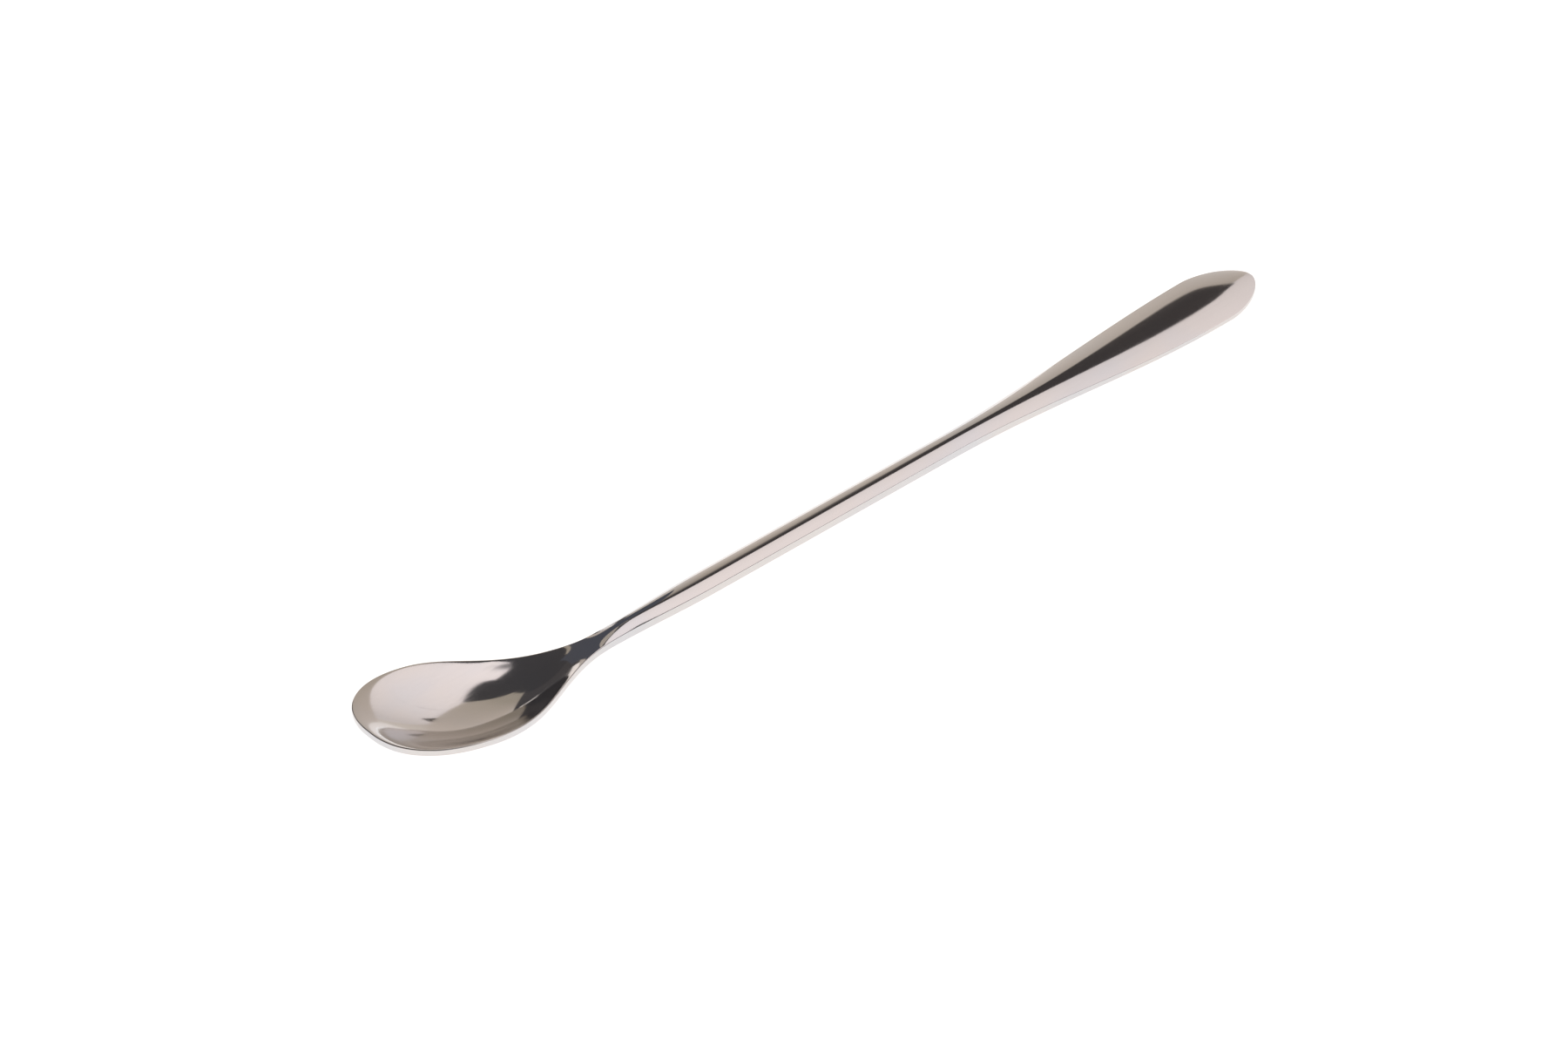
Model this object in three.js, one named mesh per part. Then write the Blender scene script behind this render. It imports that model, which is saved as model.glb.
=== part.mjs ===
// A long-handled bar spoon in one piece of polished stainless steel: an egg-shaped bowl, a slim
// stem and a handle end that widens to a rounded pad.
//
// Millimetres, +Z up. The spoon lies on the plane z = 0, which it touches with the underside of the
// bowl and with the flat underside of the pad. +X runs from the bowl to the pad, y = 0 is the
// symmetry plane, and the origin is under the middle of the overall length.
//
// The body is lofted through cross-sections that stand across the spoon. Each section has a top
// curve, a bottom curve and two upright flanks. Below, x is the distance from the tip of the bowl.

import * as THREE from 'three';
import { LoftGeometry } from 'three/addons/geometries/LoftGeometry.js';

// ---- Driving dimensions ----------------------------------------------------------------------

const overallLength = 200;

// The outline, seen from above.
const bowlWidth = 23.2;
const bowlWidestAt = 15.9;
const bowlEndsAt = 48.9;
const bowlTipFullness = 2.3; // 2 is an ellipse, more is squarer
const neckWidth = 3.6;
const stemWidth = 4.9;
const stemSwellLength = 22.5; // from the end of the bowl to the stem's full width
const padWidth = 13.1;
const padWidestFromEnd = 11.1;
const padSwellLength = 63.6; // from the stem's full width to the pad's
const padTipFullness = 1.7;
const tipLand = 0.6; // the short straight edge at either end of the outline

// The line of the edges, seen from the side.
const bowlTiltDegrees = 20.3; // the rim's slope where it leaves the neck
const bowlTipEase = 3.6; // how much lower the tip stands than a straight rim would put it
const bowlBendAt = 31;
const bowlBendLength = 12;
const padRestLength = 20; // how much of the pad's underside is flat
const padBendLength = 16;

// The bowl's hollow and the shell round it.
const bowlDepth = 5.8;
const bowlDeepestAt = 18;
const hollowEndsAt = 48;
const hollowFullness = 1.25; // above 1 the wall eases out again towards the rim
const bowlFloorThickness = 1.3;
const shellEndsAt = 52; // the underside runs out later than the hollow, which makes the neck thicker
const shellFullness = 1.2;

// The height of the flanks, and how far the top and the bottom swell beyond them.
const rimThickness = 1.3;
const stemFlank = 1.4;
const padFlank = 0.9;
const stemCrown = 1;
const padCrown = 1.1;
const stemBelly = 0.6;
const bellyStartsAt = 30;
const neckBlendLength = 10; // over which the rim's thickness becomes the stem's
const edgeBreak = 0.2; // the small bevel along every edge

// How finely the surface is divided.
const sectionCount = 140;
const pointsAcross = 15;

// ---- Blends ----------------------------------------------------------------------------------

// 0 before start, 1 after end, and an even S between them.
function blend(x, start, end) {
  const t = THREE.MathUtils.clamp((x - start) / (end - start), 0, 1);
  return (1 - Math.cos(Math.PI * t)) / 2;
}

// A rounded nose: 0 at distance 0, 1 from the length on, and as full as the fullness says.
function nose(distance, length, fullness) {
  const t = 1 - THREE.MathUtils.clamp(distance / length, 0, 1);
  return Math.pow(1 - Math.pow(t, fullness), 1 / fullness);
}

// A slope of 1 that starts at distance 0, with its corner eased over the length of the bend.
function easedRamp(distance, bendLength) {
  const half = bendLength / 2;
  if (distance <= -half) {
    return 0;
  }
  if (distance >= half) {
    return distance;
  }
  return Math.pow(distance + half, 2) / (4 * half);
}

// ---- The outline -----------------------------------------------------------------------------

const padWidestAt = overallLength - padWidestFromEnd;
const padStartsAt = padWidestAt - padSwellLength;

function halfWidth(x) {
  const neck = neckWidth / 2;
  const swell = (stemWidth / 2 - neck) * blend(x, bowlEndsAt, bowlEndsAt + stemSwellLength);
  const bowl = (bowlWidth / 2 - neck) * (1 - blend(x, bowlWidestAt, bowlEndsAt));
  const pad = ((padWidth - stemWidth) / 2) * blend(x, padStartsAt, padWidestAt);
  const bowlNose = nose(x, bowlWidestAt, bowlTipFullness);
  const padNose = nose(overallLength - x, padWidestFromEnd, padTipFullness);
  const land = tipLand / 2;
  return land + (neck + swell + bowl + pad - land) * bowlNose * padNose;
}

// ---- Thicknesses -----------------------------------------------------------------------------

const neckBlendStart = bowlEndsAt - neckBlendLength / 2;
const neckBlendEnd = bowlEndsAt + neckBlendLength / 2;
const padRestStartsAt = overallLength - padRestLength;

function flank(x) {
  const stem = (stemFlank - rimThickness) * blend(x, neckBlendStart, neckBlendEnd);
  const pad = (padFlank - stemFlank) * blend(x, padStartsAt, padWidestAt);
  return rimThickness + stem + pad;
}

// The crown dies away round the pad's rounded end.
function crown(x) {
  const stem = stemCrown * blend(x, neckBlendStart, neckBlendEnd);
  const pad = (padCrown - stemCrown) * blend(x, padStartsAt, padWidestAt);
  return (stem + pad) * nose(overallLength - x, padWidestFromEnd, padTipFullness);
}

// The underside is rounded along the stem and levels out to the pad's flat rest.
function belly(x) {
  const stem = stemBelly * blend(x, bellyStartsAt, neckBlendEnd);
  return stem * (1 - blend(x, padStartsAt, padRestStartsAt));
}

// How deep the dish is on the centre line, as a share of its full depth.
function dishShare(x, endsAt) {
  if (x > bowlDeepestAt) {
    return 1 - blend(x, bowlDeepestAt, endsAt);
  }
  const towardsTip = (bowlDeepestAt - x) / bowlDeepestAt;
  return Math.pow(1 - towardsTip * towardsTip, hollowFullness);
}

// How far the hollow goes down inside the rim, and how far the shell hangs below it.
function hollowDrop(x) {
  return bowlDepth * dishShare(x, hollowEndsAt);
}

function shellDrop(x) {
  return (bowlDepth + bowlFloorThickness - rimThickness) * dishShare(x, shellEndsAt);
}

// Both ends are rounded off over half the height of their flank.
function endShare(x) {
  const bowlEnd = nose(x, rimThickness / 2, 2);
  const padEnd = nose(overallLength - x, padFlank / 2, 2);
  return THREE.MathUtils.lerp(tipLand, 1, bowlEnd * padEnd);
}

// ---- The line of the edges -------------------------------------------------------------------

const stations = [];
for (let i = 0; i <= sectionCount; i += 1) {
  stations.push((overallLength * (1 - Math.cos((Math.PI * i) / sectionCount))) / 2);
}

// How far the bowl's rim stands above the straight line of the stem.
function rimLift(x) {
  const slope = Math.tan(THREE.MathUtils.degToRad(bowlTiltDegrees));
  const towardsTip = Math.max(bowlBendAt - x, 0) / bowlBendAt;
  return slope * easedRamp(bowlBendAt - x, bowlBendLength) - bowlTipEase * towardsTip ** 2;
}

// The share of the neck's height that the stem has left at x. It runs out where the pad rests.
const stemRunsOutAt = padRestStartsAt - padBendLength / 2;

function heightShare(x) {
  return easedRamp(stemRunsOutAt - x, padBendLength) / (stemRunsOutAt - bowlBendAt);
}

// The neck is just high enough for the whole underside to stay on or above z = 0.
const neckHeight = Math.max(
  ...stations
    .filter((x) => heightShare(x) > 0)
    .map((x) => (shellDrop(x) + belly(x) - rimLift(x)) / heightShare(x)),
);

function lowerEdge(x) {
  return neckHeight * heightShare(x) + rimLift(x);
}

// ---- Cross-sections --------------------------------------------------------------------------

// One section as a closed ring, counter-clockwise when seen from the pad.
function section(x) {
  const half = halfWidth(x);
  const bevel = Math.min(edgeBreak, half / 4);
  const share = endShare(x);
  const middle = lowerEdge(x) + flank(x) / 2;
  const upper = middle + (flank(x) / 2) * share;
  const lower = middle - (flank(x) / 2) * share;
  const flat = half - bevel;
  const ring = [];
  // The bottom curve, from -Y to +Y.
  for (let i = 0; i < pointsAcross; i += 1) {
    const t = -Math.cos((Math.PI * i) / (pointsAcross - 1));
    const inside = 1 - t * t;
    const drop = shellDrop(x) * Math.pow(inside, shellFullness) + belly(x) * share * inside;
    ring.push(new THREE.Vector3(x, flat * t, lower - drop));
  }
  // The flank on the +Y side, between its two bevels.
  ring.push(new THREE.Vector3(x, half, lower + bevel * share));
  ring.push(new THREE.Vector3(x, half, upper - bevel * share));
  // The top curve, from +Y back to -Y.
  for (let i = 0; i < pointsAcross; i += 1) {
    const t = Math.cos((Math.PI * i) / (pointsAcross - 1));
    const inside = 1 - t * t;
    const rise = crown(x) * share * inside - hollowDrop(x) * Math.pow(inside, hollowFullness);
    ring.push(new THREE.Vector3(x, flat * t, upper + rise));
  }
  // The flank on the -Y side.
  ring.push(new THREE.Vector3(x, -half, upper - bevel * share));
  ring.push(new THREE.Vector3(x, -half, lower + bevel * share));
  return ring;
}

// ---- The spoon -------------------------------------------------------------------------------

function makeSpoon() {
  const geometry = new LoftGeometry(stations.map(section), {
    closed: true,
    capStart: true,
    capEnd: true,
  });
  const polishedSteel = new THREE.MeshStandardMaterial({
    color: 0xc9c3be,
    roughness: 0.1,
    metalness: 1,
  });
  const mesh = new THREE.Mesh(geometry, polishedSteel);
  mesh.name = 'spoon';
  mesh.position.x = -overallLength / 2;
  return mesh;
}

const barSpoon = new THREE.Group();
barSpoon.name = 'bar_spoon';
barSpoon.add(makeSpoon());

export default barSpoon;
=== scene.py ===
"""A long-handled bar spoon in polished stainless steel, on a pale studio floor."""

import math
from itertools import pairwise

import bmesh
import bpy
import numpy as np
from bpy.props import FloatProperty, FloatVectorProperty, IntProperty, PointerProperty
from mathutils import Matrix, Vector


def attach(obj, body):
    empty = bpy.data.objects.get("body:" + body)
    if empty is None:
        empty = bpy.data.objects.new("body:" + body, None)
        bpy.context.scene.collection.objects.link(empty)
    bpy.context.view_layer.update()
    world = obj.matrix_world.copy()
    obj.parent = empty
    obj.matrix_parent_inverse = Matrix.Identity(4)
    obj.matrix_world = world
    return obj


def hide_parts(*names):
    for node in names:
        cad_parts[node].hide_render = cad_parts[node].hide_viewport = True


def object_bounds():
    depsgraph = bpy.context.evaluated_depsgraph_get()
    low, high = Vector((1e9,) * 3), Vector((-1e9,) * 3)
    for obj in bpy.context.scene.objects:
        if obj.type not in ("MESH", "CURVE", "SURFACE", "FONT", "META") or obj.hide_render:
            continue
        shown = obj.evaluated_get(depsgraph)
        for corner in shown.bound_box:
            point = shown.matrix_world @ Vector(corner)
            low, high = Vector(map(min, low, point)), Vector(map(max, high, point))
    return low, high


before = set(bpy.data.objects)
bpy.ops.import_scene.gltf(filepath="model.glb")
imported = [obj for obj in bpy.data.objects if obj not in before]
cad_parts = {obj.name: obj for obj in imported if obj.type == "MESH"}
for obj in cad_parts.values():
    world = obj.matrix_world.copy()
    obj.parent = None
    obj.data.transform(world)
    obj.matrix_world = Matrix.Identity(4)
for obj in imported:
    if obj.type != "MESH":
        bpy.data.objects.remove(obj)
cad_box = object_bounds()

bl_info = {
    "name": "Bar Spoon",
    "version": (1, 0, 0),
    "blender": (4, 5, 0),
    "location": "View3D > Sidebar > Bar Spoon",
    "description": "Builds a polished steel bar spoon and the studio it lies in",
    "category": "Object",
}

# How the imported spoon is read. Distances are in metres.
SAME_POINT = 1e-7  # packed points this close together are one point
TOUCHING = 2e-7  # finished points this close meet, and a packed point this near a line is on it
STATION_DIGITS = 6
WIDTH_DIGITS = 7
FINE_STEPS = 8000
TIP_HELD = 0.001  # over this much of either tip, the flank keeps its height
HOLLOW_RUNS_OUT = (0.040, 0.050)  # from the bowl's tip, where the stem's crown takes over
SHELL_RUNS_OUT = (0.036, 0.052)  # from the bowl's tip, where the stem's belly takes over

# How finely the finished spoon is divided, from the middle of its flank to its centre line.
FLANK_RINGS = 4
ROUNDING_RINGS = 5
FACE_RINGS = 26
UNDERSIDE_RINGS = 20
EDGE_CROWDING = 1.35  # above 1, the rings on a face stand closer together near its edge

# The studio, in metres.
LOOKS_AT = (-0.00676, 0.005545, 0.0)
SENSOR_WIDTH = 36.0  # in millimetres
FLOOR_REACH = 20.0
FLOOR_ROUGHNESS = 0.9
SURROUND_RADIUS = 8.0
SURROUND_HEIGHT = 10.0
SKY_SPREAD = math.radians(150)
DARK_CLOTH = (0.066, 0.064, 0.068)


# ---- What a user would change ----------------------------------------------------------------


class SpoonShape(bpy.types.PropertyGroup):
    """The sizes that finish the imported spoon's edges and walls."""

    edge_rounding: FloatProperty(
        name="Edge rounding",
        description="Radius of the polished edges between the flanks and the faces",
        default=0.00018,
        min=0.00005,
        max=0.0005,
        precision=5,
        unit="LENGTH",
    )
    flank_bulge: FloatProperty(
        name="Flank bulge",
        description="How far the flanks swell outwards between their edges",
        default=0.00004,
        min=0.0,
        max=0.0003,
        precision=5,
        unit="LENGTH",
    )
    hollow_fullness: FloatProperty(
        name="Hollow fullness",
        description="Above 1, the hollow's wall eases out again towards the rim",
        default=1.25,
        min=0.5,
        max=1.5,
    )
    shell_fullness: FloatProperty(
        name="Shell fullness",
        description="Above 1, the bowl's underside eases out again towards the rim",
        default=1.2,
        min=0.5,
        max=1.5,
    )
    outline_steps: IntProperty(
        name="Outline steps",
        description="How many points the outline has, all the way round",
        default=640,
        min=160,
        max=1200,
    )


class SteelLook(bpy.types.PropertyGroup):
    """The finish of the polished steel."""

    tint: FloatVectorProperty(
        name="Tint",
        description="Colour of the steel where it is cleanly polished",
        default=(0.66, 0.63, 0.615),
        min=0.0,
        max=1.0,
        size=3,
        subtype="COLOR",
    )
    cool_tint: FloatVectorProperty(
        name="Cool tint",
        description="Colour of the faint bluish patches that buffing leaves",
        default=(0.60, 0.61, 0.64),
        min=0.0,
        max=1.0,
        size=3,
        subtype="COLOR",
    )
    gloss: FloatProperty(
        name="Roughness",
        description="Roughness of the polish between its scratches",
        default=0.07,
        min=0.0,
        max=1.0,
        subtype="FACTOR",
    )
    line_depth: FloatProperty(
        name="Polish line depth",
        description="Depth of the lines that the polishing wheel leaves",
        default=0.0000006,
        min=0.0,
        max=0.00001,
        precision=7,
        unit="LENGTH",
    )


class StudioLook(bpy.types.PropertyGroup):
    """The floor, the light and the camera."""

    floor_colour: FloatVectorProperty(
        name="Floor colour",
        description="Colour of the plain floor",
        default=(0.86, 0.85, 0.84),
        min=0.0,
        max=1.0,
        size=3,
        subtype="COLOR",
    )
    floor_glow: FloatProperty(
        name="Floor glow",
        description="How brightly the translucent floor is lit from behind",
        default=0.9,
        min=0.0,
        max=5.0,
    )
    floor_light: FloatProperty(
        name="Floor light",
        description="Strength of the soft light from above",
        default=1.3,
        min=0.0,
        max=20.0,
    )
    room_colour: FloatVectorProperty(
        name="Room colour",
        description="Colour of the dim room round the studio",
        default=(0.085, 0.08, 0.082),
        min=0.0,
        max=1.0,
        size=3,
        subtype="COLOR",
    )
    focal_length: FloatProperty(
        name="Focal length",
        description="Focal length of the camera's lens, in millimetres",
        default=123.05,
        min=20.0,
        max=300.0,
    )
    camera_distance: FloatProperty(
        name="Camera distance",
        description="How far the camera stands from the point that it looks at",
        default=0.9,
        min=0.3,
        max=5.0,
        unit="LENGTH",
    )
    camera_turn: FloatProperty(
        name="Camera turn",
        description="Which way round the spoon the camera stands",
        default=math.radians(-42.26),
        subtype="ANGLE",
        unit="ROTATION",
    )
    camera_height: FloatProperty(
        name="Camera height",
        description="Angle of the camera above the floor",
        default=math.radians(40.0),
        subtype="ANGLE",
        unit="ROTATION",
    )


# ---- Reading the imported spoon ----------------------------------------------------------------


class Line:
    """A smooth curve through measured values."""

    def __init__(self, at, values):
        gap = np.diff(at)
        step = np.diff(values) / gap
        system = np.eye(len(at))
        right = np.zeros(len(at))
        for i in range(1, len(at) - 1):
            system[i, i - 1 : i + 2] = gap[i - 1], 2 * (gap[i - 1] + gap[i]), gap[i]
            right[i] = 6 * (step[i] - step[i - 1])
        self.at = at
        self.values = values
        self.bend = np.linalg.solve(system, right)

    def __call__(self, where):
        i = np.clip(np.searchsorted(self.at, where) - 1, 0, len(self.at) - 2)
        gap = self.at[i + 1] - self.at[i]
        after = (where - self.at[i]) / gap
        before = 1 - after
        straight = before * self.values[i] + after * self.values[i + 1]
        curved = (before**3 - before) * self.bend[i] + (after**3 - after) * self.bend[i + 1]
        return straight + curved * gap * gap / 6


def smooth_step(value, start, end):
    """0 before start, 1 after end, and an even S between them."""
    share = np.clip((value - start) / (end - start), 0, 1)
    return share * share * (3 - 2 * share)


def eased(x, values, reach=0.0035, kept=0.005):
    """Evens out small jumps in curvature, but leaves both tips as they are."""
    even = np.array(values)
    for i, here in enumerate(x):
        # The weights apply before the differences are squared, hence 4 and not 2.
        weight = np.exp(-(((x - here) / reach) ** 2) / 4)
        even[i] = np.polyfit(x - here, values, 2, w=weight)[-1]
    inside = smooth_step(np.minimum(x - x[0], x[-1] - x), kept, 2 * kept)
    return values + (even - values) * inside


class Form:
    """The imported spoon's outline and heights, measured station by station along it."""

    def __init__(self, node, shape):
        merged = bmesh.new()
        merged.from_mesh(node.data)
        bmesh.ops.remove_doubles(merged, verts=merged.verts, dist=SAME_POINT)
        stations = {}
        for vert in merged.verts:
            stations.setdefault(round(vert.co.x, STATION_DIGITS), []).append(vert.co.copy())
        merged.free()
        rows = [self.measure(stations[x]) for x in sorted(stations)]
        x, half, upper, lower, top, bottom = np.array(rows).T
        rise, drop = eased(x, top - upper), eased(x, lower - bottom)
        upper, lower = eased(x, upper), eased(x, lower)
        top, bottom = upper + rise, lower - drop
        along = np.concatenate(([0.0], np.cumsum(np.hypot(np.diff(x), np.diff(half)))))
        self.length = along[-1]
        self.ends = x[0], x[-1]
        self.x = Line(along, x)
        self.half = Line(along, half)
        self.upper = Line(along, upper)
        self.lower = Line(along, lower)
        self.top = Line(along, top)
        self.bottom = Line(along, bottom)
        self.fine_along = np.linspace(0, self.length, FINE_STEPS)
        self.fine_x = self.x(self.fine_along)
        self.shape = shape

    @staticmethod
    def measure(ring):
        """One station's x, half width, edge heights and centre-line heights."""
        widths = sorted({round(abs(p.y), WIDTH_DIGITS) for p in ring})
        flat = [p.z for p in ring if abs(abs(p.y) - widths[-2]) < TOUCHING]
        middle = [p.z for p in ring if abs(p.y) < TOUCHING]
        return ring[0].x, widths[-1], max(flat), min(flat), max(middle), min(middle)

    def along(self, x):
        """Where along the outline the spoon has this x."""
        return np.interp(x, self.fine_x, self.fine_along)

    def edge_heights(self, x):
        """The lower and the upper edge of the flank. It keeps its height round both tips."""
        start, end = self.ends
        inner = self.along(np.clip(x, start + TIP_HELD, end - TIP_HELD))
        here = self.along(x)
        middle = (self.upper(here) + self.lower(here)) / 2
        flank = (self.upper(inner) - self.lower(inner)) / 2
        return middle - flank, middle + flank

    def share(self, x, y, here):
        """0 on the outline and 1 on the centre line."""
        return np.clip(1 - (y / self.half(here)) ** 2, 0, 1)

    def towards_stem(self, x, runs_out):
        """0 in the bowl and 1 along the stem."""
        tip = self.ends[0]
        return smooth_step(x, tip + runs_out[0], tip + runs_out[1])

    def face(self, x, y):
        """The height of the upper face."""
        here = self.along(x)
        edge = self.edge_heights(x)[1]
        rise = self.top(here) - self.upper(here)
        stem = self.towards_stem(x, HOLLOW_RUNS_OUT)
        fullness = self.shape.hollow_fullness + (1 - self.shape.hollow_fullness) * stem
        return edge + rise * self.share(x, y, here) ** fullness

    def underside(self, x, y):
        """The height of the underside."""
        here = self.along(x)
        edge = self.edge_heights(x)[0]
        drop = self.lower(here) - self.bottom(here)
        stem = self.towards_stem(x, SHELL_RUNS_OUT)
        fullness = self.shape.shell_fullness + (1 - self.shape.shell_fullness) * stem
        return edge - drop * self.share(x, y, here) ** fullness


# ---- Building the spoon ----------------------------------------------------------------------


class Rings:
    """The spoon's surface as closed rings that follow its outline."""

    SPINE_INSET = 0.0035  # how far the centre line stops short of either tip
    TIP_CROWDING = 0.55  # how much closer together the points stand at the tips
    DIRECTION_STEP = 1e-4  # the share of the outline over which its direction is measured
    CORNER_PASSES = 3  # a rounding's width and the slope beyond it settle together

    def __init__(self, form, shape):
        self.form = form
        self.radius = shape.edge_rounding
        self.bulge = shape.flank_bulge
        half_count = shape.outline_steps // 2
        turn = (np.arange(half_count) + 0.5) / half_count
        crowded = turn - self.TIP_CROWDING * np.sin(2 * np.pi * turn) / (2 * np.pi)
        along = crowded * form.length
        step = form.length * self.DIRECTION_STEP
        x, y = form.x(along), form.half(along)
        dx = form.x(along + step) - form.x(along - step)
        dy = form.half(along + step) - form.half(along - step)
        size = np.hypot(dx, dy)
        self.out_x = np.concatenate((-dy / size, (-dy / size)[::-1]))
        self.out_y = np.concatenate((dx / size, (-dx / size)[::-1]))
        self.x = np.concatenate((x, x[::-1])) - self.out_x * self.bulge
        self.y = np.concatenate((y, -y[::-1])) - self.out_y * self.bulge
        self.count = 2 * half_count

    def inset(self, distance):
        """The outline moved inwards."""
        return self.x - self.out_x * distance, self.y - self.out_y * distance

    def corner(self, surface, side):
        """The rounding between a flank and a face: its width, its centre's height, its angle."""
        inward = np.full(self.count, self.radius)
        reach = self.radius * 0.5
        for _ in range(self.CORNER_PASSES):
            here = surface(*self.inset(inward))
            further = surface(*self.inset(inward + reach))
            slope = side * (further - here) / reach
            angle = np.pi / 2 - np.arctan(slope)
            inward = self.radius * (1 - np.cos(angle))
        centre = surface(*self.inset(inward)) - side * self.radius * np.sin(angle)
        return inward, centre, angle

    def rounding(self, corner, side, share):
        """A ring on the rounding: share 0 is on the flank, and 1 on the face."""
        _, centre, angle = corner
        turned = angle * share
        x, y = self.inset(self.radius * (1 - np.cos(turned)))
        return x, y, centre + side * self.radius * np.sin(turned)

    def flank(self, low, high, share):
        """A ring on the flank, which swells a little between its edges."""
        x, y = self.inset(-self.bulge * 4 * share * (1 - share))
        return x, y, low[1] + (high[1] - low[1]) * share

    def face(self, surface, corner, share):
        """A ring on a face: share 1 is on its edge, and 0 on the centre line."""
        edge_x, edge_y = self.inset(corner[0])
        start, end = self.form.ends
        spine = np.clip(edge_x, start + self.SPINE_INSET, end - self.SPINE_INSET)
        x = spine + (edge_x - spine) * share
        y = edge_y * share
        return x, y, surface(x, y)


def face_shares(count):
    """Shares from the edge to the centre line, closer together near the edge."""
    even = (np.arange(count) + 1) / count
    return 1 - even**EDGE_CROWDING


def steps(count):
    """Even shares, the last of which is 1."""
    return [(i + 1) / count for i in range(count)]


def rings_over(rings, low, high, side, surface, count):
    """The rings from the middle of the flank, round the edge and across one face."""
    corner = high if side > 0 else low
    over = [rings.flank(low, high, 0.5 + side * share / 2) for share in steps(FLANK_RINGS)]
    over += [rings.rounding(corner, side, share) for share in steps(ROUNDING_RINGS)]
    over += [rings.face(surface, corner, share) for share in face_shares(count)]
    return over


def build_spoon(shape):
    """The spoon as one closed mesh."""
    form = Form(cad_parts["spoon"], shape)
    rings = Rings(form, shape)
    high = rings.corner(form.face, 1)
    low = rings.corner(form.underside, -1)
    upward = rings_over(rings, low, high, 1, form.face, FACE_RINGS)
    downward = rings_over(rings, low, high, -1, form.underside, UNDERSIDE_RINGS)

    spoon = bmesh.new()
    half_step = Matrix.Rotation(math.pi / rings.count, 4, "Z")
    place = spoon.verts.layers.int.new("place")
    bmesh.ops.create_circle(
        spoon, cap_ends=False, radius=1, segments=rings.count, matrix=half_step
    )
    for vert in spoon.verts:
        turn = math.atan2(vert.co.y, -vert.co.x) / (2 * math.pi)
        vert[place] = int((turn % 1) * rings.count)
    start = list(spoon.edges)
    put(spoon.verts, place, rings.flank(low, high, 0.5))
    for way in (upward, downward):
        edge_loop = start
        for ring in way:
            made = bmesh.ops.extrude_edge_only(spoon, edges=edge_loop)["geom"]
            verts = [item for item in made if isinstance(item, bmesh.types.BMVert)]
            put(verts, place, ring)
            new = set(verts)
            edge_loop = [
                edge
                for edge in dict.fromkeys(edge for vert in verts for edge in vert.link_edges)
                if edge.verts[0] in new and edge.verts[1] in new
            ]
    bmesh.ops.remove_doubles(spoon, verts=spoon.verts, dist=TOUCHING)
    bmesh.ops.recalc_face_normals(spoon, faces=spoon.faces)
    for face in spoon.faces:
        face.smooth = True
    return spoon


def put(verts, place, ring):
    """Moves one ring's points to their places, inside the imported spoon's box."""
    x, y, z = ring
    y = np.clip(y, cad_box[0].y, cad_box[1].y)
    z = np.maximum(z, cad_box[0].z)
    for vert in verts:
        i = vert[place]
        vert.co = (x[i], y[i], z[i])


def add_piece(name, mesh_source, material):
    """Makes an object from a bmesh, with one material."""
    mesh = bpy.data.meshes.new(name)
    mesh_source.to_mesh(mesh)
    mesh_source.free()
    mesh.materials.append(material)
    piece = bpy.data.objects.new(name, mesh)
    bpy.context.scene.collection.objects.link(piece)
    return piece


# ---- Shader maths ----------------------------------------------------------------------------


class Wire:
    """A node's output. Arithmetic on it adds Math nodes."""

    def __init__(self, maker, socket):
        self.maker = maker
        self.socket = socket

    def maths(self, operation, *inputs):
        return self.maker.node("ShaderNodeMath", {"operation": operation}, *inputs)

    def __add__(self, other):
        return self.maths("ADD", self, other)

    def __radd__(self, other):
        return self.maths("ADD", other, self)

    def __sub__(self, other):
        return self.maths("SUBTRACT", self, other)

    def __rsub__(self, other):
        return self.maths("SUBTRACT", other, self)

    def __mul__(self, other):
        return self.maths("MULTIPLY", self, other)

    def __rmul__(self, other):
        return self.maths("MULTIPLY", other, self)


class Maker:
    """Adds nodes to one material's or world's tree."""

    def __init__(self, tree):
        self.tree = tree
        self.tree.nodes.clear()

    def node(self, kind, settings=None, *inputs, output=0, **named):
        """Adds a node: its settings first, then the values or links of its sockets."""
        made = self.tree.nodes.new(kind)
        settings = dict(settings or {})
        stops = settings.pop("stops", None)
        for key, value in settings.items():
            setattr(made, key, value)
        if stops:
            self.set_stops(made.color_ramp, stops)
        for key, value in [*enumerate(inputs), *named.items()]:
            socket = made.inputs[key if isinstance(key, int) else key.replace("_", " ")]
            if isinstance(value, Wire):
                self.tree.links.new(value.socket, socket)
            elif value is not None:
                socket.default_value = value
        return Wire(self, made.outputs[output]) if made.outputs else made

    @staticmethod
    def set_stops(ramp, stops):
        while len(ramp.elements) < len(stops):
            ramp.elements.new(1.0)
        for element, (position, colour) in zip(ramp.elements, stops, strict=True):
            element.position = position
            element.color = colour

    def stretched(self, scale, turn=(0, 0, 0)):
        """Object coordinates turned and then stretched."""
        position = self.node("ShaderNodeTexCoord", output=3)
        return self.node(
            "ShaderNodeMapping", {"vector_type": "POINT"}, position, (0, 0, 0), turn, scale
        )

    def noise(self, vector, scale, detail=2.0, rough=0.5):
        return self.node(
            "ShaderNodeTexNoise",
            {"noise_dimensions": "3D"},
            Vector=vector,
            Scale=scale,
            Detail=detail,
            Roughness=rough,
        )

    def between(self, value, low, high, to_low=0.0, to_high=1.0):
        """Maps a value from one range to another, held at its ends."""
        return self.node(
            "ShaderNodeMapRange", {"clamp": True}, value, low, high, to_low, to_high
        )

    def mix(self, share, first, second):
        """Mixes two colours."""
        made = self.tree.nodes.new("ShaderNodeMix")
        made.data_type = "RGBA"
        sockets = {0: share, 6: first, 7: second}
        for key, value in sockets.items():
            if isinstance(value, Wire):
                self.tree.links.new(value.socket, made.inputs[key])
            else:
                made.inputs[key].default_value = value
        return Wire(self, made.outputs[2])


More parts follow.
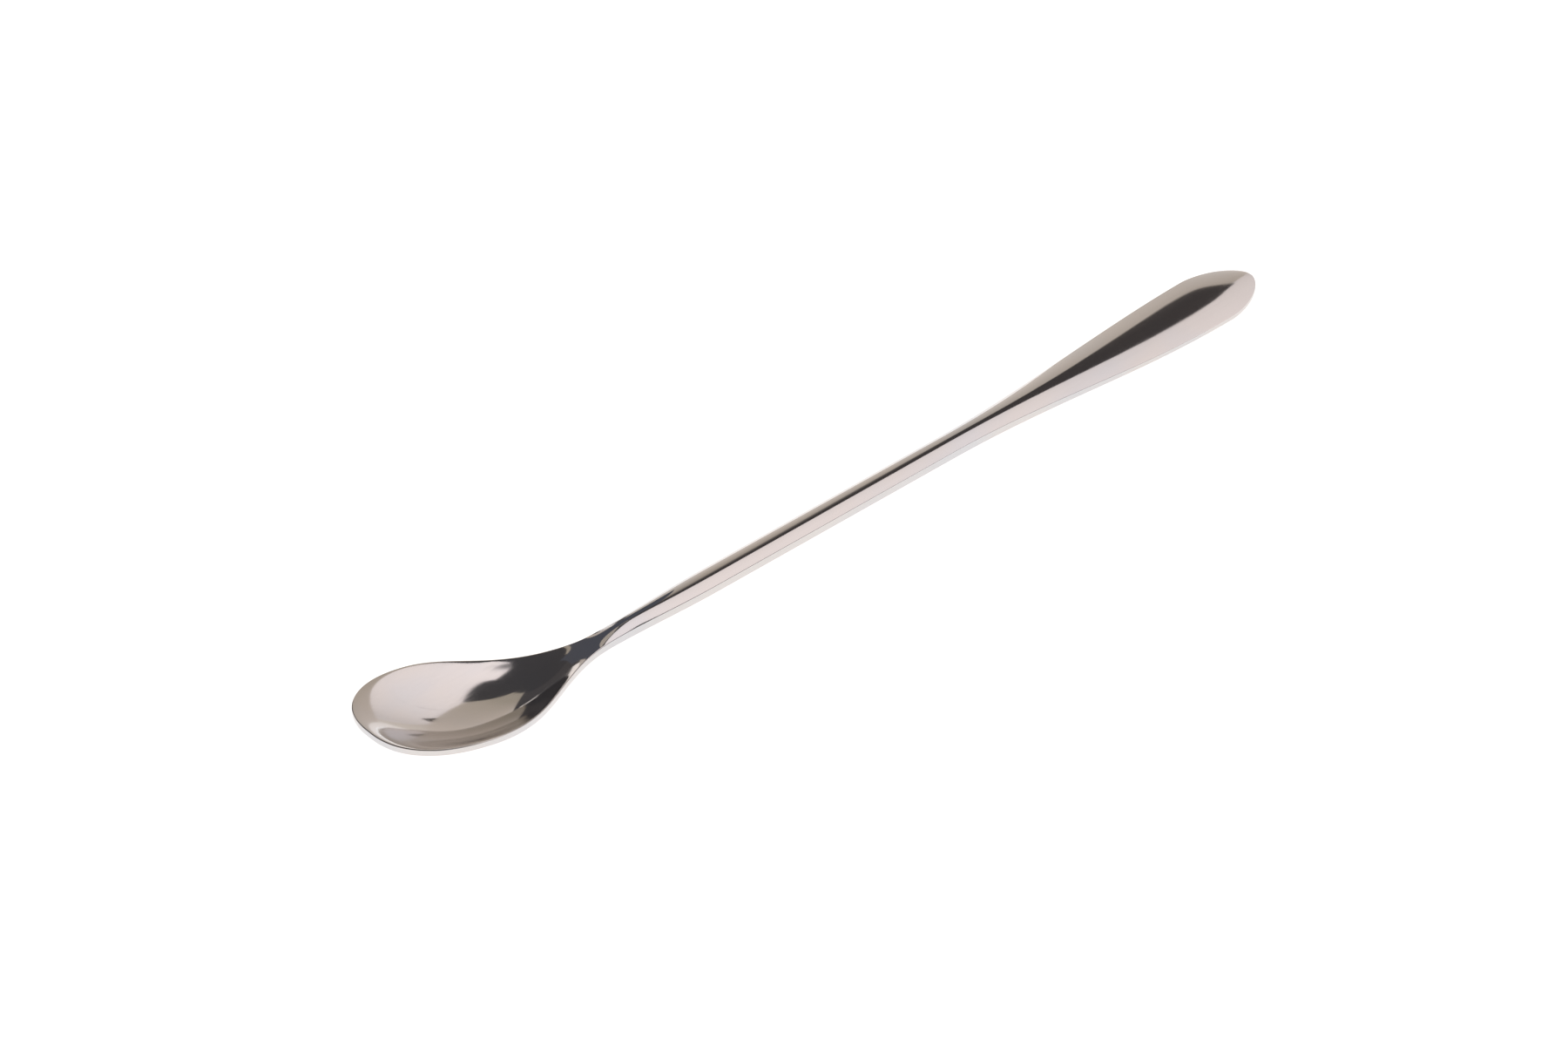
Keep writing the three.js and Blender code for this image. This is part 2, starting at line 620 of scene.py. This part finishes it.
def rgba(colour):
    """A colour with full opacity."""
    return (*colour, 1.0)


def polished_steel(look):
    """Mirror-polished steel with the fine lines of the polishing wheel."""
    material = bpy.data.materials.new("polished steel")
    material.use_nodes = True
    make = Maker(material.node_tree)
    # The wheel runs a little askew of the spoon's length, and stray scratches cross its lines.
    wheel_turn = (0, 0, math.radians(8))
    stray_turn = (0, 0, math.radians(-38))
    lines = make.noise(make.stretched((60, 2600, 2600), wheel_turn), 1.0, 3.0, 0.6)
    strays = make.noise(make.stretched((90, 3000, 1500), stray_turn), 1.0, 2.0, 0.6)
    cloud = make.noise(make.stretched((1, 1, 1)), 160.0, 3.0, 0.55)
    patches = make.noise(make.stretched((1, 2, 2)), 55.0, 2.0, 0.5)
    scratch = make.between(strays, 0.66, 0.78)
    cool = make.between(patches, 0.45, 0.7, 0.0, 0.6)
    tint = make.mix(cool, rgba(look.tint), rgba(look.cool_tint))
    worn = rgba((0.30, 0.28, 0.27))
    darker = make.mix(0.06 * lines + 0.05 * cloud, tint, worn)
    roughness = look.gloss + 0.05 * make.between(lines, 0.3, 0.8) + 0.04 * scratch
    height = lines + 0.5 * cloud + 0.8 * scratch
    bump = make.node(
        "ShaderNodeBump", {}, Strength=1.0, Distance=look.line_depth, Height=height
    )
    shader = make.node(
        "ShaderNodeBsdfPrincipled",
        {},
        Base_Color=darker,
        Metallic=1.0,
        Roughness=roughness,
        Normal=bump,
    )
    make.node("ShaderNodeOutputMaterial", {}, shader)
    return material


def plain_paint(name, colour, roughness, glow_strength):
    """A plain matt finish for a floor that is lit evenly from behind."""
    material = bpy.data.materials.new(name)
    material.use_nodes = True
    make = Maker(material.node_tree)
    shader = make.node(
        "ShaderNodeBsdfPrincipled",
        {},
        Base_Color=rgba(colour),
        Roughness=roughness,
        Emission_Color=rgba(colour),
        Emission_Strength=glow_strength,
    )
    make.node("ShaderNodeOutputMaterial", {}, shader)
    return material


def glow(name, colour, fade=None):
    """An even glow, or one that fades to another colour. A fade is start, end and colour."""
    material = bpy.data.materials.new(name)
    material.use_nodes = True
    make = Maker(material.node_tree)
    colours = rgba(colour)
    if fade:
        start, end, faded = fade
        way = Vector(end) - Vector(start)
        position = make.node("ShaderNodeTexCoord", output=3)
        gap = make.node("ShaderNodeVectorMath", {"operation": "SUBTRACT"}, position, start)
        along = make.node(
            "ShaderNodeVectorMath", {"operation": "DOT_PRODUCT"}, gap, way, output=1
        )
        share = make.between(along, 0.0, way.length_squared)
        colours = make.mix(share, colours, rgba(faded))
    shader = make.node("ShaderNodeEmission", {}, colours, 1.0)
    make.node("ShaderNodeOutputMaterial", {}, shader)
    return material


# ---- The studio ------------------------------------------------------------------------------


def add_card(name, corners, colour, fade=None):
    """A flat card that shows only where the steel mirrors it."""
    source = bmesh.new()
    source.faces.new([source.verts.new(corner) for corner in corners])
    card = add_piece(name, source, glow(name, colour, fade))
    card.visible_camera = False
    card.visible_diffuse = False
    card.visible_shadow = False


def upright(start, way, outline):
    """The corners of an upright card: how far along the way each is, and how high."""
    return [Vector(start) + Vector(way) * along + Vector((0, 0, up)) for along, up in outline]


def across(x, outline):
    """The corners of a card that stands across the spoon at x. Each is a y and a height."""
    return [(x, y, up) for y, up in outline]


def add_wide_cards():
    """The softbox over the handle, and the askew backdrop beyond it with its strip and foot."""
    add_card(
        "softbox",
        [
            (-0.050, -0.250, 0.600),
            (0.330, 0.200, 0.560),
            (0.720, 0.400, 0.000),
            (0.227, -0.210, 0.000),
        ],
        (1.36, 1.26, 1.25),
        ((0.0, 0.0, 0.0), (0.60, 0.0, 0.0), (0.80, 0.74, 0.72)),
    )
    askew = (-0.7071, 0.7071, 0.0)
    add_card(
        "backdrop",
        upright(
            (0.636, 0.636, 0.0), askew, [(-1.6, 0.0), (0.30, 0.0), (0.30, 1.80), (-1.6, 0.65)]
        ),
        (0.80, 0.73, 0.67),
        ((0.0, 0.0, 0.0), (0.0, 0.0, 0.85), (0.42, 0.37, 0.31)),
    )
    add_card(
        "light strip",
        upright(
            (0.62, 0.62, 0.0), askew, [(0.35, 0.0), (0.50, 0.0), (0.50, 0.35), (0.35, 0.35)]
        ),
        (1.20, 1.12, 1.06),
    )
    add_card(
        "backdrop foot",
        [(-0.1, 0.05, 0.002), (1.8, 0.05, 0.002), (1.8, 1.8, 0.002), (-0.1, 1.8, 0.002)],
        (1.10, 1.02, 0.97),
        ((0.0, 0.05, 0.0), (0.0, 0.4, 0.0), (0.80, 0.73, 0.67)),
    )


def add_close_cards():
    """The dark flags and the pale screen that stand close to the handle, the bowl and the neck."""
    handle_flag_at = 0.252
    bowl_flag_at = -0.035
    bowl_screen_at = -0.0355
    ceiling = 0.100
    add_card(
        "handle flag",
        across(
            handle_flag_at,
            [
                (0.105, 0.128),
                (0.208, 0.126),
                (0.214, 0.200),
                (0.280, 0.250),
                (0.280, 0.550),
                (0.105, 0.550),
            ],
        ),
        (0.064, 0.057, 0.057),
        ((0.0, 0.205, 0.0), (0.0, 0.280, 0.0), (0.30, 0.27, 0.25)),
    )
    add_card(
        "bowl flag",
        across(
            bowl_flag_at,
            [
                (0.001, 0.047),
                (0.021, ceiling),
                (-0.040, ceiling),
                (-0.036, 0.0865),
                (-0.031, 0.0755),
                (-0.025, 0.0665),
                (-0.018, 0.0590),
                (-0.010, 0.0530),
            ],
        ),
        DARK_CLOTH,
    )
    add_card(
        "bowl ceiling",
        [
            (bowl_flag_at, -0.040, ceiling),
            (bowl_flag_at, 0.200, ceiling),
            (-0.110, 0.200, ceiling),
            (-0.110, -0.047, ceiling),
            (-0.050, -0.047, ceiling),
        ],
        DARK_CLOTH,
    )
    add_card(
        "bowl screen",
        across(
            bowl_screen_at,
            [
                (0.001, 0.047),
                (0.0370, 0.009),
                (0.055, 0.009),
                (0.055, ceiling),
                (0.021, ceiling),
            ],
        ),
        (0.70, 0.62, 0.56),
        ((0.0, 0.0, 0.010), (0.0, 0.0, 0.065), (0.46, 0.41, 0.34)),
    )
    add_card(
        "neck flag",
        [
            (-0.057, 0.006, 0.008),
            (-0.032, 0.006, 0.007),
            (-0.032, 0.006, 0.018),
            (-0.057, 0.006, 0.022),
        ],
        (0.095, 0.100, 0.120),
    )


def add_pale_screens():
    """Screens behind the camera, so that the far side of the spoon has something to mirror."""
    height = 1.3
    around = [(-0.42, -1.48, 0.0), (-1.73, -0.17, 0.0), (-1.50, 1.00, 0.0), (-0.25, 1.50, 0.0)]
    for number, (start, end) in enumerate(pairwise(around), 1):
        way = Vector(end) - Vector(start)
        add_card(
            f"pale screen {number}",
            upright(start, way, [(0.0, 0.0), (1.0, 0.0), (1.0, height), (0.0, height)]),
            (1.00, 0.94, 0.91),
            ((0.0, 0.0, 0.1), (0.0, 0.0, 1.2), (0.22, 0.20, 0.20)),
        )


def add_sun(look):
    """A very soft light from above, which the steel doesn't mirror."""
    light = bpy.data.lights.new("skylight", "SUN")
    light.energy = look.floor_light
    light.angle = SKY_SPREAD
    sun = bpy.data.objects.new("skylight", light)
    sun.visible_glossy = False
    bpy.context.scene.collection.objects.link(sun)


def add_surround():
    """A white surround, which only the camera sees."""
    source = bmesh.new()
    bmesh.ops.create_cone(
        source,
        cap_ends=False,
        segments=64,
        radius1=SURROUND_RADIUS,
        radius2=SURROUND_RADIUS,
        depth=SURROUND_HEIGHT,
    )
    surround = add_piece("surround", source, glow("surround", (1.1, 1.1, 1.1)))
    surround.visible_glossy = False
    surround.visible_diffuse = False
    surround.visible_shadow = False


def add_camera(look):
    """The camera, which looks down along the spoon from beside the bowl."""
    camera = bpy.data.objects.new("camera", bpy.data.cameras.new("camera"))
    camera.data.sensor_width = SENSOR_WIDTH
    camera.data.lens = look.focal_length
    turn, height = look.camera_turn, look.camera_height
    back = Vector(
        (math.sin(turn) * math.cos(height), -math.cos(turn) * math.cos(height), math.sin(height))
    )
    camera.location = Vector(LOOKS_AT) + back * look.camera_distance
    camera.rotation_euler = back.to_track_quat("Z", "Y").to_euler()
    bpy.context.scene.collection.objects.link(camera)
    bpy.context.scene.camera = camera


def add_room(look):
    """The dim room, which gives the steel its dark reflections."""
    world = bpy.data.worlds.new("room")
    world.use_nodes = True
    make = Maker(world.node_tree)
    back = make.node("ShaderNodeBackground", {}, rgba(look.room_colour), 1.0)
    make.node("ShaderNodeOutputWorld", {}, back)
    bpy.context.scene.world = world


def add_floor(look):
    """A wide plain floor."""
    source = bmesh.new()
    bmesh.ops.create_grid(source, x_segments=1, y_segments=1, size=FLOOR_REACH)
    paint = plain_paint("floor paint", look.floor_colour, FLOOR_ROUGHNESS, look.floor_glow)
    add_piece("floor", source, paint)


# ---- Operators, panel and registration -------------------------------------------------------


class BARSPOON_OT_spoon(bpy.types.Operator):
    """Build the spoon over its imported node"""

    bl_idname = "barspoon.spoon"
    bl_label = "Spoon"

    def execute(self, context):
        scene = context.scene
        piece = add_piece(
            "spoon_polished",
            build_spoon(scene.barspoon_shape),
            polished_steel(scene.barspoon_steel),
        )
        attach(piece, "root")
        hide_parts("spoon")
        return {"FINISHED"}


class BARSPOON_OT_studio(bpy.types.Operator):
    """Lay out the floor, the lights and the camera"""

    bl_idname = "barspoon.studio"
    bl_label = "Studio"

    def execute(self, context):
        look = context.scene.barspoon_studio
        add_floor(look)
        add_surround()
        add_wide_cards()
        add_close_cards()
        add_pale_screens()
        add_sun(look)
        add_camera(look)
        add_room(look)
        context.scene.view_settings.view_transform = "Standard"
        return {"FINISHED"}


class BARSPOON_PT_panel(bpy.types.Panel):
    """Everything that the add-on makes"""

    bl_idname = "BARSPOON_PT_panel"
    bl_label = "Bar Spoon"
    bl_space_type = "VIEW_3D"
    bl_region_type = "UI"
    bl_category = "Bar Spoon"

    def draw(self, context):
        scene = context.scene
        for heading, settings, operator in (
            ("Spoon", scene.barspoon_shape, None),
            ("Steel", scene.barspoon_steel, BARSPOON_OT_spoon),
            ("Studio", scene.barspoon_studio, BARSPOON_OT_studio),
        ):
            box = self.layout.box()
            box.label(text=heading)
            for key in settings.__annotations__:
                box.prop(settings, key)
            if operator:
                box.operator(operator.bl_idname)


CLASSES = (
    SpoonShape,
    SteelLook,
    StudioLook,
    BARSPOON_OT_spoon,
    BARSPOON_OT_studio,
    BARSPOON_PT_panel,
)


def register():
    for item in CLASSES:
        bpy.utils.register_class(item)
    bpy.types.Scene.barspoon_shape = PointerProperty(type=SpoonShape)
    bpy.types.Scene.barspoon_steel = PointerProperty(type=SteelLook)
    bpy.types.Scene.barspoon_studio = PointerProperty(type=StudioLook)


def unregister():
    del bpy.types.Scene.barspoon_studio
    del bpy.types.Scene.barspoon_steel
    del bpy.types.Scene.barspoon_shape
    for item in reversed(CLASSES):
        bpy.utils.unregister_class(item)


def main():
    register()
    bpy.ops.barspoon.spoon()
    bpy.ops.barspoon.studio()


if __name__ == "__main__":
    main()
